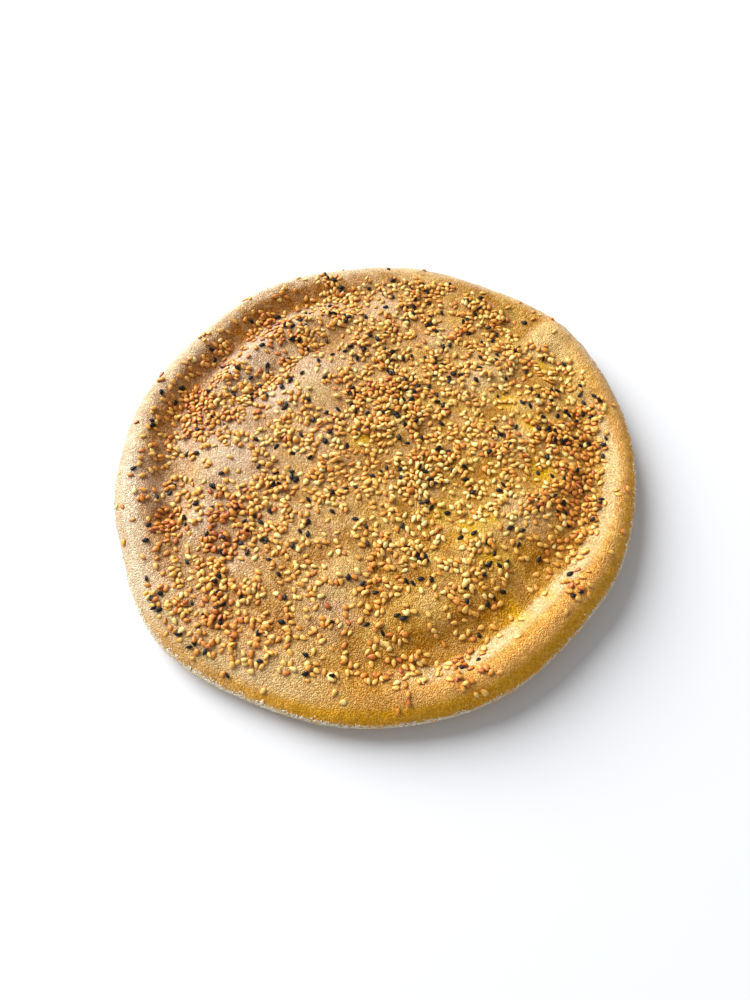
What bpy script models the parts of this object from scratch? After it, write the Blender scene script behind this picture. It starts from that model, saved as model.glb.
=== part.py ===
"""A ramadan pide: a round leavened flatbread with a thick rim, a furrow pressed inside the rim, softer finger
marks over the middle, and sesame and nigella seeds baked onto the crust. Loaf and seeds are one solid.

Metres, +Z up. The bread lies flat on z = 0 with its box centred on the origin, and +Y points away from the
viewer. Angles run anticlockwise seen from above, from +X on the right.
"""

import math
import random

import bmesh
import bpy
from mathutils import Matrix, Vector
from mathutils.bvhtree import BVHTree

MM = 0.001

# Loaf, in metres
MEAN_RADIUS = 0.110
RIM_HEIGHT = 0.0155
MIDDLE_HEIGHT = 0.0150
MIDDLE_DOME = 0.0015  # how much higher the centre is than the ring just inside the rim
BULGE_SHARE = 0.42  # height of the widest line of the side, as a share of the rim there
UNDERSIDE_ROUND = 0.006  # how far the flat base stops short of the widest line
SHOULDER_WIDTH = 0.0105  # from the widest line in to the top of the rim
FURROW_INSET = 0.0220  # from the widest line in to the furrow's lowest line
FURROW_WALL = 0.0072  # from the lowest line out to where the rim's wall ends
FURROW_RISE = 0.0085  # from the lowest line in to where the middle begins
RIM_BLEND = (0.009, 0.022)  # the rim's height gives way to the middle's between these insets

# Outline: (waves round the bread, height in mm, degrees of one crest)
OUTLINE_WAVES = (
    (2, 2.4, 45.0),
    (3, 0.4, 6.5),
    (4, 0.7, 28.0),
    (6, 0.55, -14.0),
    (7, 0.4, 22.0),
    (8, 0.4, -7.0),
    (10, 0.35, 7.0),
)

# What changes round the rim: (degrees, half width in degrees, mm)
OUTLINE_LOBES = ((141, 15, -1.2), (268, 26, -0.9), (192, 7, 0.9), (178, 6, -0.9), (330, 8, 0.6))
RIM_LIFTS = ((322, 46, 4.2), (160, 50, 3.0), (30, 24, 1.6), (238, 24, -1.0))
SHOULDER_LOBES = ((240, 32, 9.0), (145, 45, -1.0), (335, 40, 1.5))
FURROW_DEPTHS = (
    (112, 19, 3.6),
    (150, 26, 3.8),
    (187, 14, 2.8),
    (203, 20, 1.4),
    (290, 13, 2.4),
    (325, 42, 4.3),
    (20, 24, 1.2),
)
FURROW_RISES = ((322, 42, 3.0), (203, 25, 3.0), (145, 38, -2.8))
FURROW_SHIFTS = ((314, 26, -0.4), (284, 14, -1.6), (354, 24, -5.6), (200, 26, 4.0), (150, 42, -1.8))

# Finger marks: (x, y, half length, half width, all in mm, degrees of the long side, height in mm)
FINGER_MARKS = (
    (-65, 44, 19, 6.5, 52, 1.7),
    (-35, 71, 19, 6.5, 36, 1.7),
    (-47, 40, 16, 5.5, 46, -1.8),
    (-20, 61, 17, 5.5, 38, -1.4),
    (-32, 33, 17, 11, 45, 1.7),
    (4, 78, 15, 7, 85, 1.2),
    (5, 47, 11, 6.5, 30, -1.5),
    (25, 60, 9, 7, 20, 1.2),
    (45, 38, 13, 9, 20, 1.3),
    (61, 38, 12, 7, 60, -2.2),
    (78, 61, 10, 7, 42, 3.0),
    (61, 71, 9, 5, 42, -1.2),
    (66, 25, 9, 6, 30, 1.4),
    (20, 11, 14, 6.5, 40, -1.2),
    (-9, -7, 17, 6.5, 32, -1.4),
    (66, -9, 9, 6, 50, -1.4),
    (48, -31, 26, 8, 42, 1.6),
    (-66, 0, 17, 9, 72, 1.5),
    (-73, -30, 8, 6, 60, 1.3),
    (-59, -39, 13, 8, 45, -1.2),
    (-86, -27, 7, 6, 80, -1.5),
    (-14, -52, 17, 6.5, 50, 1.4),
    (12, -68, 24, 8, 28, 1.0),
    (-40, -84, 22, 9, -16, 1.3),
    (58, -62, 5, 2.6, -50, -0.9),
    (21, -89, 5, 3, -75, -0.8),
    (70, -52, 5, 3, -40, 0.7),
    (45, -73, 6, 3.5, -60, 0.7),
)

# Topping. Patches: (x, y, radius, all in mm, how much more or less lies there)
BACKGROUND_SEEDS = 0.42
SEED_PATCHES = (
    (84, 4, 12, 0.60),
    (78, -22, 12, 0.65),
    (89, 22, 9, 0.30),
    (-56, -30, 11, 0.50),
    (-66, -48, 10, 0.45),
    (-60, -70, 14, 0.42),
    (-48, -25, 8, 0.25),
    (-40, 62, 9, 0.55),
    (-26, 66, 8, 0.30),
    (-57, 57, 8, -0.42),
    (-38, 77, 8, -0.26),
    (-75, 24, 13, 0.45),
    (-62, 38, 9, 0.25),
    (4, 30, 15, 0.60),
    (26, 41, 8, 0.45),
    (-34, 6, 9, 0.60),
    (-27, -4, 8, 0.25),
    (20, 85, 9, 0.45),
    (44, 72, 12, 0.42),
    (64, 55, 8, 0.50),
    (50, 55, 8, 0.30),
    (-16, 84, 9, 0.30),
    (3, 61, 9, 0.25),
    (15, -8, 10, 0.35),
    (50, 1, 12, 0.32),
    (5, -47, 7, 0.55),
    (44, -54, 6, 0.14),
    (33, -62, 6, 0.20),
    (-22, -83, 11, -0.20),
    (-46, -80, 7, 0.20),
    (-29, 40, 9, -0.36),
    (-24, 26, 6, -0.20),
    (-22, 27, 6, -0.25),
    (24, 56, 7, -0.36),
    (16, 46, 5, -0.30),
    (48, 35, 7, -0.26),
    (65, 31, 9, -0.30),
    (-62, -4, 9, -0.32),
    (-75, -14, 7, -0.20),
    (-94, -28, 9, -0.20),
    (-82, 46, 9, -0.26),
    (-94, 18, 8, -0.20),
    (-15, -34, 9, -0.26),
    (-16, -53, 8, -0.22),
    (28, -31, 9, -0.22),
    (18, -70, 10, -0.26),
    (-36, -64, 8, -0.24),
    (-20, 60, 8, -0.20),
    (68, -8, 4, -0.35),
    (76, 3, 4, 0.20),
    (60, -45, 10, -0.32),
    (50, -70, 14, -0.40),
    (26, -80, 9, -0.30),
)
RIM_PATCHES = (
    (33, -91, 6, 0.50),
    (74, -57, 7, 0.50),
    (10, -103, 7, 0.22),
    (-6, -98, 7, 0.25),
    (-80, 62, 12, 0.08),
    (-24, 95, 6, 0.30),
    (-98, 34, 8, 0.12),
    (-96, -34, 12, 0.12),
)
BARE_EDGE = 0.0085  # from the widest line in to where the topping is half as thick
BARE_EDGE_LOBES = (
    (42, 12, 15.0),
    (358, 12, 5.5),
    (92, 10, 4.0),
    (126, 14, 4.5),
    (160, 18, 3.0),
    (196, 14, 3.5),
    (72, 18, 3.0),
    (222, 12, -3.5),
    (264, 20, 6.0),
    (313, 20, 13.0),
    (345, 14, 2.5),
)
BARE_EDGE_SOFTNESS = 0.0015
STRAY_SEEDS = 0.025  # what still lies on the bare edge
SEED_MARGIN = 0.0025  # from the widest line in to the outermost seed
SEED_SIZE_SPREAD = 0.10  # seeds differ in size by up to this share
SESAME_SIZE = (0.0030, 0.0020, 0.0011)  # length, width, thickness
NIGELLA_SIZE = (0.0030, 0.0015, 0.0012)
FUSED_SEEDS = 205
FUSED_SPACING = 0.0046
NIGELLA_EVERY = 8  # one seed in this many is nigella
SEED_SINK = 0.12  # how far a seed's middle plane stands over the crust, as a share of its thickness
SEED_TILT = 7.0  # most degrees that a seed leans
FIRST_DRAW = 8  # where the random draws start
MOST_TRIES = 100000  # places drawn at most

# Cross sections of a seed: (place along it as a share of its length from the middle, fullness)
SESAME_RINGS = ((-0.12, 0.85), (0.26, 0.95))
SESAME_CORNERS = 5
NIGELLA_RINGS = ((-0.18, 0.9), (0.28, 1.0))
NIGELLA_CORNERS = 4

# Fineness of the loaf's mesh
TOP_GRID = 34  # squares across the top, whose outermost ring is the rim's crest line
SIDE_STEPS = 4
UNDER_STEPS = 2

CRUST_COLOUR = (0.62, 0.36, 0.12, 1.0)
SHARP_ANGLE = 40.0  # degrees between faces that meet in an edge


def lobes_at(angle, lobes):
    """Sum of smooth lobes at an angle round the bread, in metres."""
    total = 0.0
    for centre, half_width, size in lobes:
        away = (math.degrees(angle) - centre + 180.0) % 360.0 - 180.0
        total += size * MM * math.exp(-((away / half_width) ** 2))
    return total


def smooth_step(value, low, high):
    share = min(max((value - low) / (high - low), 0.0), 1.0)
    return share * share * (3.0 - 2.0 * share)


def outline_radius(angle):
    """Distance from the centre to the widest line of the side."""
    waves = sum(
        size * MM * math.cos(count * (angle - math.radians(crest)))
        for count, size, crest in OUTLINE_WAVES
    )
    return MEAN_RADIUS + waves + lobes_at(angle, OUTLINE_LOBES)


def shoulder_width(angle):
    return SHOULDER_WIDTH + lobes_at(angle, SHOULDER_LOBES)


def rim_height(angle):
    return RIM_HEIGHT + lobes_at(angle, RIM_LIFTS)


def bulge_height(angle):
    return BULGE_SHARE * rim_height(angle)


def finger_marks(x, y):
    """Height that the long soft dents and ridges add at a point."""
    total = 0.0
    for mark_x, mark_y, half_length, half_width, degrees, height in FINGER_MARKS:
        turn = math.radians(degrees)
        dx = x / MM - mark_x
        dy = y / MM - mark_y
        along = (dx * math.cos(turn) + dy * math.sin(turn)) / half_length
        across = (dy * math.cos(turn) - dx * math.sin(turn)) / half_width
        total += height * MM * math.exp(-(along * along + across * across))
    return total


def crown_height(angle, radius):
    """Height of the top of the loaf, before the shoulder rounds it off."""
    inset = outline_radius(angle) - radius
    dome = MIDDLE_DOME * (1.0 - (radius / MEAN_RADIUS) ** 2)
    middle = MIDDLE_HEIGHT + dome
    share = smooth_step(inset, *RIM_BLEND)
    height = rim_height(angle) * (1.0 - share) + middle * share
    past = inset - FURROW_INSET - lobes_at(angle, FURROW_SHIFTS)
    span = FURROW_RISE + lobes_at(angle, FURROW_RISES) if past > 0.0 else FURROW_WALL
    height -= lobes_at(angle, FURROW_DEPTHS) * math.exp(-abs(past / span) ** 3)
    return height + finger_marks(radius * math.cos(angle), radius * math.sin(angle))


def on_circle(angle, radius, height):
    return Vector((radius * math.cos(angle), radius * math.sin(angle), height))


def crown_point(angle, share):
    """A point of the top: share is 0 at the centre and 1 at the crest line of the rim."""
    radius = share * (outline_radius(angle) - shoulder_width(angle))
    return on_circle(angle, radius, crown_height(angle, radius))


def shoulder_point(angle, turn):
    """A point between the crest line, at turn 0, and the widest line, at turn a quarter circle."""
    widest = outline_radius(angle)
    radius = widest - shoulder_width(angle) * (1.0 - math.sin(turn))
    low = bulge_height(angle)
    return on_circle(angle, radius, low + (crown_height(angle, radius) - low) * math.cos(turn))


def underside_point(angle, turn):
    """A point between the widest line, at turn 0, and the edge of the flat base."""
    radius = outline_radius(angle) - UNDERSIDE_ROUND * (1.0 - math.cos(turn))
    return on_circle(angle, radius, bulge_height(angle) * (1.0 - math.sin(turn)))


def disc_place(u, v):
    """Angle and share of the radius that a square grid's point takes when its squares become rings."""
    if abs(u) < 1e-9 and abs(v) < 1e-9:
        return 0.0, 0.0
    if abs(u) >= abs(v):
        turn = math.pi / 4.0 * v / u
        return (turn if u > 0.0 else turn + math.pi), abs(u)
    turn = math.pi / 2.0 - math.pi / 4.0 * u / v
    return (turn if v > 0.0 else turn + math.pi), abs(v)


def add_ring(shape, place):
    """Extrudes the open edge of the loaf and moves each new vertex to place(its angle)."""
    edges = [edge for edge in shape.edges if edge.is_boundary]
    made = bmesh.ops.extrude_edge_only(shape, edges=edges)["geom"]
    for vertex in made:
        if isinstance(vertex, bmesh.types.BMVert):
            vertex.co = place(math.atan2(vertex.co.y, vertex.co.x))


def loaf_shape():
    """The bare loaf: a top of ringed squares, a rounded shoulder, a tucked underside and a flat base."""
    shape = bmesh.new()
    bmesh.ops.create_grid(shape, x_segments=TOP_GRID, y_segments=TOP_GRID, size=1.0)
    for vertex in shape.verts:
        vertex.co = crown_point(*disc_place(vertex.co.x, vertex.co.y))
    quarter = math.pi / 2.0
    for step in range(1, SIDE_STEPS + 1):
        turn = quarter * step / SIDE_STEPS
        add_ring(shape, lambda angle: shoulder_point(angle, turn))
    for step in range(1, UNDER_STEPS + 1):
        turn = quarter * step / UNDER_STEPS
        add_ring(shape, lambda angle: underside_point(angle, turn))
    rim = [edge for edge in shape.edges if edge.is_boundary]
    bmesh.ops.contextual_create(shape, geom=rim)
    bmesh.ops.recalc_face_normals(shape, faces=shape.faces)
    return shape


def patches_at(x, y, patches):
    """Sum of smooth round patches at a point."""
    total = 0.0
    for patch_x, patch_y, radius, more in patches:
        dx = x / MM - patch_x
        dy = y / MM - patch_y
        total += more * math.exp(-(dx * dx + dy * dy) / (radius * radius))
    return total


def topping_weight(x, y):
    """How thickly the seeds lie at a point, from 0 to 1."""
    angle = math.atan2(y, x)
    inset = outline_radius(angle) - math.hypot(x, y)
    bare = BARE_EDGE + lobes_at(angle, BARE_EDGE_LOBES)
    covered = smooth_step(inset, bare - BARE_EDGE_SOFTNESS, bare + BARE_EDGE_SOFTNESS)
    weight = (BACKGROUND_SEEDS + patches_at(x, y, SEED_PATCHES)) * covered
    return min(max(weight + patches_at(x, y, RIM_PATCHES), STRAY_SEEDS), 1.0)


def scatter(draw, count, spacing):
    """Random places in the plan, closer together where the topping is thick."""
    places = []
    for _ in range(MOST_TRIES):
        if len(places) == count:
            break
        angle = draw.uniform(0.0, 2.0 * math.pi)
        radius = math.sqrt(draw.random()) * (outline_radius(angle) - SEED_MARGIN)
        place = Vector((radius * math.cos(angle), radius * math.sin(angle)))
        if draw.random() > topping_weight(*place):
            continue
        if all((place - other).length > spacing for other in places):
            places.append(place)
    return places


def seed_shape(size, rings, corners, first_turn):
    """A seed along X, tip at -X: points at both ends and rings of a few corners between them."""
    length, width, thickness = size
    shape = bmesh.new()
    tip = shape.verts.new((-length / 2.0, 0.0, 0.0))
    last = [tip] * corners
    for along, fullness in rings:
        ring = []
        for corner in range(corners):
            turn = 2.0 * math.pi * (corner + 0.5) / corners + first_turn
            ring.append(
                shape.verts.new(
                    (
                        along * length,
                        fullness * width / 2.0 * math.sin(turn),
                        fullness * thickness / 2.0 * math.cos(turn),
                    )
                )
            )
        join_rings(shape, last, ring)
        last = ring
    end = shape.verts.new((length / 2.0, 0.0, 0.0))
    join_rings(shape, last, [end] * corners)
    bmesh.ops.recalc_face_normals(shape, faces=shape.faces)
    mesh = bpy.data.meshes.new("seed")
    shape.to_mesh(mesh)
    shape.free()
    return mesh


def join_rings(shape, before, after):
    """Faces between two rings, either of which may be one point repeated."""
    for here in range(len(before)):
        there = (here + 1) % len(before)
        corners = [before[here], before[there], after[there], after[here]]
        shape.faces.new(list(dict.fromkeys(corners)))


def seed_stance(draw, ground, place, thickness):
    """Where a seed lies on the crust: its matrix, from a heading, a lean and how deep it is baked in."""
    hit, normal, _, _ = ground.ray_cast(Vector((place.x, place.y, 1.0)), Vector((0.0, 0.0, -1.0)))
    heading = Matrix.Rotation(draw.uniform(0.0, 2.0 * math.pi), 4, "Z")
    lean = Matrix.Rotation(math.radians(draw.uniform(-SEED_TILT, SEED_TILT)), 4, "Y")
    size = Matrix.Scale(1.0 + SEED_SIZE_SPREAD * draw.uniform(-1.0, 1.0), 4)
    up = normal.to_track_quat("Z", "Y").to_matrix().to_4x4()
    centre = Matrix.Translation(hit + normal * (SEED_SINK * thickness))
    return centre @ up @ heading @ lean @ size


def add_seeds(loaf):
    """Lays the seeds on the loaf as loose objects and returns their collection."""
    draw = random.Random(FIRST_DRAW)
    ground = BVHTree.FromBMesh(loaf)
    sesame = seed_shape(SESAME_SIZE, SESAME_RINGS, SESAME_CORNERS, 0.0)
    nigella = seed_shape(NIGELLA_SIZE, NIGELLA_RINGS, NIGELLA_CORNERS, math.pi / 4.0)
    kinds = ((sesame, SESAME_SIZE[2]), (nigella, NIGELLA_SIZE[2]))
    seeds = bpy.data.collections.new("seeds")
    bpy.context.scene.collection.children.link(seeds)
    for number, place in enumerate(scatter(draw, FUSED_SEEDS, FUSED_SPACING)):
        mesh, thickness = kinds[number % NIGELLA_EVERY == 0]
        seed = bpy.data.objects.new(f"seed_{number}", mesh)
        seed.matrix_world = seed_stance(draw, ground, place, thickness)
        seeds.objects.link(seed)
    return seeds


def fuse(body, seeds):
    """Makes the loaf and its seeds one solid, and removes the loose seeds."""
    union = body.modifiers.new("baked_on", "BOOLEAN")
    union.operation = "UNION"
    union.operand_type = "COLLECTION"
    union.collection = seeds
    union.solver = "EXACT"
    bpy.context.view_layer.update()
    seen = body.evaluated_get(bpy.context.evaluated_depsgraph_get())
    joined = bpy.data.meshes.new_from_object(seen)
    body.modifiers.remove(union)
    body.data = joined
    for seed in list(seeds.objects):
        bpy.data.objects.remove(seed)
    bpy.data.collections.remove(seeds)


def centre_on_origin(mesh):
    """Moves the mesh sideways until its box is centred on the origin."""
    for axis in range(2):
        values = [vertex.co[axis] for vertex in mesh.vertices]
        middle = (min(values) + max(values)) / 2.0
        for vertex in mesh.vertices:
            vertex.co[axis] -= middle


def crust_material():
    material = bpy.data.materials.new("crust")
    material.use_nodes = True
    shader = material.node_tree.nodes["Principled BSDF"]
    shader.inputs["Base Color"].default_value = CRUST_COLOUR
    shader.inputs["Roughness"].default_value = 0.55
    shader.inputs["Metallic"].default_value = 0.0
    return material


def main():
    for leftover in list(bpy.data.objects):
        bpy.data.objects.remove(leftover)
    loaf = loaf_shape()
    mesh = bpy.data.meshes.new("pide")
    loaf.to_mesh(mesh)
    pide = bpy.data.objects.new("pide", mesh)
    bpy.context.scene.collection.objects.link(pide)
    fuse(pide, add_seeds(loaf))
    loaf.free()
    centre_on_origin(pide.data)
    pide.data.shade_smooth()
    pide.data.set_sharp_from_angle(angle=math.radians(SHARP_ANGLE))
    pide.data.materials.clear()
    pide.data.materials.append(crust_material())


main()
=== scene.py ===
"""The looks of a ramadan pide: the loaf in a fine mesh with a grained crust, its sesame and nigella
seeds, the bran along its lower edge, and the pale studio that it is seen in.

Metres, +Z up. The bread lies flat on z = 0, and +Y points away from the camera. Angles run anticlockwise
from +X. An inset runs from the widest line of the side inward.
"""

import math
import random

import bmesh
import bpy
import numpy as np
from mathutils import Matrix, Vector, noise


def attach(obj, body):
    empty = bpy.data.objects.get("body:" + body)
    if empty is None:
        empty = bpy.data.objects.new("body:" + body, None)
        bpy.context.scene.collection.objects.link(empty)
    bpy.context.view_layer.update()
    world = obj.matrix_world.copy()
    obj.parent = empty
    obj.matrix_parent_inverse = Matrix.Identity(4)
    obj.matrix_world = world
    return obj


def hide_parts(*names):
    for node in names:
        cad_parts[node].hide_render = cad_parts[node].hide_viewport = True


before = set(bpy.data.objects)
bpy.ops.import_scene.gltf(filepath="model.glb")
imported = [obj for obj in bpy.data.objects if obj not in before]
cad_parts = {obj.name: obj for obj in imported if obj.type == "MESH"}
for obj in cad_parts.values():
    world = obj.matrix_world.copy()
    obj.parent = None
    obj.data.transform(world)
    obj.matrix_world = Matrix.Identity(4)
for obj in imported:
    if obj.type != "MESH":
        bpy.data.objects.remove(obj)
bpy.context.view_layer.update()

MM = 0.001
TINY = 1e-9  # keeps a divisor from being zero


def srgb(red, green, blue):
    """A colour given as it shows on a screen, 0 to 255, in the linear values that shaders take."""
    linear = [
        (value / 12.92 if value <= 0.04045 else ((value + 0.055) / 1.055) ** 2.4)
        for value in (red / 255.0, green / 255.0, blue / 255.0)
    ]
    return (*linear, 1.0)


# --- sizes of the form, the same as the solid's ---

MEAN_RADIUS = 0.110
RIM_HEIGHT = 0.0155
MIDDLE_HEIGHT = 0.0150
MIDDLE_DOME = 0.0015  # how much higher the centre is than the ring just inside the rim
BULGE_SHARE = 0.42  # height of the widest line, as a share of the rim's
UNDERSIDE_ROUND = 0.006  # how far the flat base stops short of the widest line
SHOULDER_WIDTH = 0.0105  # from the widest line in to the top of the rim
FURROW_INSET = 0.0220  # from the widest line in to the furrow's lowest line
FURROW_WALL = 0.0072  # from the lowest line out to where the rim's wall ends
FURROW_RISE = 0.0085  # from the lowest line in to where the middle begins
RIM_BLEND = (0.009, 0.022)  # the rim's height gives way to the middle's between these insets

# Outline: (waves round the bread, height in mm, degrees of one crest)
OUTLINE_WAVES = (
    (2, 2.4, 45.0), (3, 0.4, 6.5), (4, 0.7, 28.0), (6, 0.55, -14.0), (7, 0.4, 22.0),
    (8, 0.4, -7.0), (10, 0.35, 7.0),
)

# What changes round the rim: (degrees, half width in degrees, mm)
OUTLINE_LOBES = ((141, 15, -1.2), (268, 26, -0.9), (192, 7, 0.9), (178, 6, -0.9), (330, 8, 0.6))
RIM_LIFTS = ((322, 46, 4.2), (160, 50, 3.0), (30, 24, 1.6), (238, 24, -1.0))
SHOULDER_LOBES = ((240, 32, 9.0), (145, 45, -1.0), (335, 40, 1.5))
FURROW_DEPTHS = (
    (112, 19, 3.6), (150, 26, 3.8), (187, 14, 2.8), (203, 20, 1.4), (290, 13, 2.4),
    (325, 42, 4.3), (20, 24, 1.2),
)
FURROW_RISES = ((322, 42, 3.0), (203, 25, 3.0), (145, 38, -2.8))
FURROW_SHIFTS = ((314, 26, -0.4), (284, 14, -1.6), (354, 24, -5.6), (200, 26, 4.0), (150, 42, -1.8))

# Finger marks: (x, y, half length, half width, all in mm, degrees of the long side, height in mm)
FINGER_MARKS = (
    (-65, 44, 19, 6.5, 52, 1.7), (-35, 71, 19, 6.5, 36, 1.7), (-47, 40, 16, 5.5, 46, -1.8),
    (-20, 61, 17, 5.5, 38, -1.4), (-32, 33, 17, 11, 45, 1.7), (4, 78, 15, 7, 85, 1.2),
    (5, 47, 11, 6.5, 30, -1.5), (25, 60, 9, 7, 20, 1.2), (45, 38, 13, 9, 20, 1.3),
    (61, 38, 12, 7, 60, -2.2), (78, 61, 10, 7, 42, 3.0), (61, 71, 9, 5, 42, -1.2),
    (66, 25, 9, 6, 30, 1.4), (20, 11, 14, 6.5, 40, -1.2), (-9, -7, 17, 6.5, 32, -1.4),
    (66, -9, 9, 6, 50, -1.4), (48, -31, 26, 8, 42, 1.6), (-66, 0, 17, 9, 72, 1.5),
    (-73, -30, 8, 6, 60, 1.3), (-59, -39, 13, 8, 45, -1.2), (-86, -27, 7, 6, 80, -1.5),
    (-14, -52, 17, 6.5, 50, 1.4), (12, -68, 24, 8, 28, 1.0), (-40, -84, 22, 9, -16, 1.3),
    (58, -62, 5, 2.6, -50, -0.9), (21, -89, 5, 3, -75, -0.8), (70, -52, 5, 3, -40, 0.7),
    (45, -73, 6, 3.5, -60, 0.7),
)

# Topping. Patches: (x, y, radius, all in mm, how much more or less lies there)
BACKGROUND_SEEDS = 0.42
SEED_PATCHES = (
    (84, 4, 12, 0.60), (78, -22, 12, 0.65), (89, 22, 9, 0.30), (-56, -30, 11, 0.50),
    (-66, -48, 10, 0.45), (-60, -70, 14, 0.42), (-48, -25, 8, 0.25), (-40, 62, 9, 0.55),
    (-26, 66, 8, 0.30), (-57, 57, 8, -0.42), (-38, 77, 8, -0.26), (-75, 24, 13, 0.45),
    (-62, 38, 9, 0.25), (4, 30, 15, 0.60), (26, 41, 8, 0.45), (-34, 6, 9, 0.60),
    (-27, -4, 8, 0.25), (20, 85, 9, 0.45), (44, 72, 12, 0.42), (64, 55, 8, 0.50),
    (50, 55, 8, 0.30), (-16, 84, 9, 0.30), (3, 61, 9, 0.25), (15, -8, 10, 0.35),
    (50, 1, 12, 0.32), (5, -47, 7, 0.55), (44, -54, 6, 0.14), (33, -62, 6, 0.20),
    (-22, -83, 11, -0.20), (-46, -80, 7, 0.20), (-29, 40, 9, -0.36), (-24, 26, 6, -0.20),
    (-22, 27, 6, -0.25), (24, 56, 7, -0.36), (16, 46, 5, -0.30), (48, 35, 7, -0.26),
    (65, 31, 9, -0.30), (-62, -4, 9, -0.32), (-75, -14, 7, -0.20), (-94, -28, 9, -0.20),
    (-82, 46, 9, -0.26), (-94, 18, 8, -0.20), (-15, -34, 9, -0.26), (-16, -53, 8, -0.22),
    (28, -31, 9, -0.22), (18, -70, 10, -0.26), (-36, -64, 8, -0.24), (-20, 60, 8, -0.20),
    (68, -8, 4, -0.35), (76, 3, 4, 0.20), (60, -45, 10, -0.32), (50, -70, 14, -0.40),
    (26, -80, 9, -0.30),
)
RIM_PATCHES = (
    (33, -91, 6, 0.50), (74, -57, 7, 0.50), (10, -103, 7, 0.22), (-6, -98, 7, 0.25),
    (-80, 62, 12, 0.08), (-24, 95, 6, 0.30), (-98, 34, 8, 0.12), (-96, -34, 12, 0.12),
)
BARE_EDGE = 0.0085  # from the widest line in to where the topping is half as thick
BARE_EDGE_LOBES = (
    (42, 12, 15.0), (358, 12, 5.5), (92, 10, 4.0), (126, 14, 4.5), (160, 18, 3.0),
    (196, 14, 3.5), (72, 18, 3.0), (222, 12, -3.5), (264, 20, 6.0), (313, 20, 13.0),
    (345, 14, 2.5),
)
BARE_EDGE_SOFTNESS = 0.0015
STRAY_SEEDS = 0.025  # what still lies on the bare edge
SEED_MARGIN = 0.0025  # from the widest line in to the outermost seed
SEED_SIZE_SPREAD = 0.10  # seeds differ in size by up to this share
SESAME_SIZE = (0.0030, 0.0020, 0.0011)  # length, width, thickness
NIGELLA_SIZE = (0.0030, 0.0015, 0.0012)
FUSED_SEEDS = 205
FUSED_SPACING = 0.0046
NIGELLA_EVERY = 8  # one seed in this many is nigella
SEED_SINK = 0.12  # height of a seed's middle plane over the crust, in thicknesses
SEED_TILT = 7.0  # most degrees that a seed leans
FIRST_DRAW = 8  # where the random draws start
MOST_TRIES = 100000  # places drawn at most
SLOPE_STEP = 0.0002  # the crust's slope is read this far to each side

# --- sizes and colours of the looks ---

# Fineness of the crust's mesh
TOP_GRID = 270
SIDE_STEPS = 14
UNDER_STEPS = 8
SKIN_RELIEF = ((0.0070, 0.00034), (0.0032, 0.00026), (0.0017, 0.00011))  # size of a swelling, its height
TABLE_FADE = 0.004  # the relief fades out below this height

# Topping: the solid's seeds and all the others
SESAME_COUNT = 3450
NIGELLA_COUNT = 400
DROP_DRAW = 11  # where the others' random draws start
DROPPED_SIZE = (0.98, 0.08)  # their size as a share of the usual one: mean and spread
WIDTH_SPREAD = 0.09
THICKNESS_SPREAD = 0.10
BED_MARGIN = 0.006  # how far the bed of heights reaches past the mean radius
BED_CELL = 0.0002
BED_COVERED = 0.0002  # a cell counts as covered from this height over the crust
BED_REACH = 4  # a cell is shaded by this many cells to each side
COARSE_FOOT = (9, 7)  # points under a seed, along and across it, to lay it down
FINE_FOOT = (18, 12)  # the same, to mark where it lies
SPOTS_TRIED = 4  # a dropped seed slides to the lowest of this many spots
SPOT_REACH = 0.0008
MOST_PILE = 0.0019  # no seed's middle lies higher than this over the crust
BAKED_IN = (0.00008, 0.00032)  # how deep a seed sits in the crust
SEED_SLOPE = 0.60  # the steepest that a seed leans on its neighbours, as a slope
CLUMPS = ((0.009, 0.9), (0.0045, 0.9))  # size of the clumps that seeds lie in, how marked they are

# Shapes of the seeds
SHAPE_DRAW = 23  # where their random draws start
SHAPES_PER_KIND = 6
SEED_RINGS = 6
SEED_CORNERS = 10
SEED_BEND = 0.10
SEED_HUMP = 0.08
SEED_UNEVENNESS = (0.97, 1.03)
SESAME_TAPER = (0.75, 0.42, 0.4660)  # powers at the tip and the round end, greatest product
NIGELLA_TAPER = (1.0, 0.70, 0.3162)
SESAME_EDGE = 0.06  # how much less the blunt edge reaches
NIGELLA_RIDGES = (0.24, 3, 0.6)  # depth between the ridges, their number, where they start

# Where seeds are more or less toasted: (x, y, radius, all in mm, change of tone)
TOASTED = (
    (-62, -34, 13, 0.34), (-60, -70, 18, 0.26), (-46, 60, 16, 0.26), (-80, 26, 18, 0.26),
    (-92, -30, 14, 0.26), (80, -22, 14, 0.26), (84, 4, 12, 0.14), (-6, 30, 14, 0.10),
    (40, 62, 9, 0.10), (24, 84, 14, 0.12), (33, -91, 8, 0.30), (74, -57, 8, 0.34),
    (38, -28, 24, -0.16), (56, 30, 14, -0.14), (2, -80, 14, 0.12), (-4, -45, 18, 0.06),
)
SESAME_TONE = (0.42, 0.19)  # mean and spread, from 0, pale, to 1, dark

BRAN_GRAINS = 4400
BRAN_DRAW = 31  # where its random draws start
BRAN_SIZE = (0.00018, 0.00042)
BRAN_SPREAD = (-0.05, 0.10)  # turn up the side from the flour's edge: mean and spread
STRAY_BRAN = 0.03  # what still lies where there is no flour
FLAKE_REACH = (0.65, 1.20)
FLAKE_FLATNESS = 0.6
FLAKE_TURN = 6.28  # a flake is turned by up to a whole turn

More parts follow.
